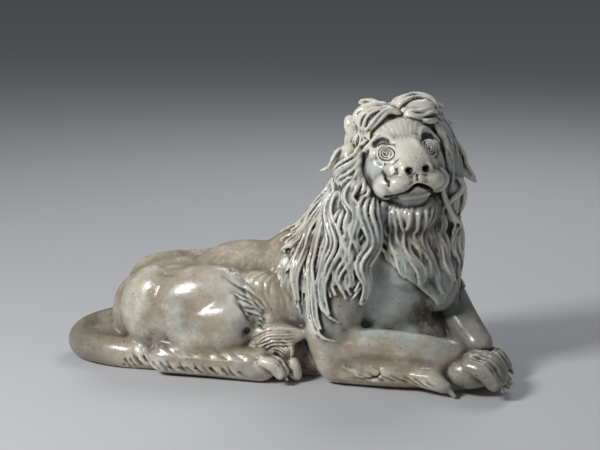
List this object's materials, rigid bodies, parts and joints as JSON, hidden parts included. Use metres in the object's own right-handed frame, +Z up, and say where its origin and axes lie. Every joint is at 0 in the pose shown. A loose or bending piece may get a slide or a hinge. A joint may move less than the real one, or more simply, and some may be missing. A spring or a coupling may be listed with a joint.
{
  "type": "lion figurine",
  "caption": "Recumbent lion in glazed porcelain, its head turned to one side, with a long wavy mane; it rests flat on its underside.",
  "frame": {"origin": "middle of the flat underside, at the centre of the bounding box", "axes": "+X towards the head end, the longest extent; -Y the lion's right side, which is meant to be seen; +Z up"},
  "size_m": [0.86, 0.3382, 0.5255],
  "materials": {
    "lion": "glossy glaze"
  },
  "bodies": {
    "root": {"lion": "lion"}
  },
  "joints": []
}
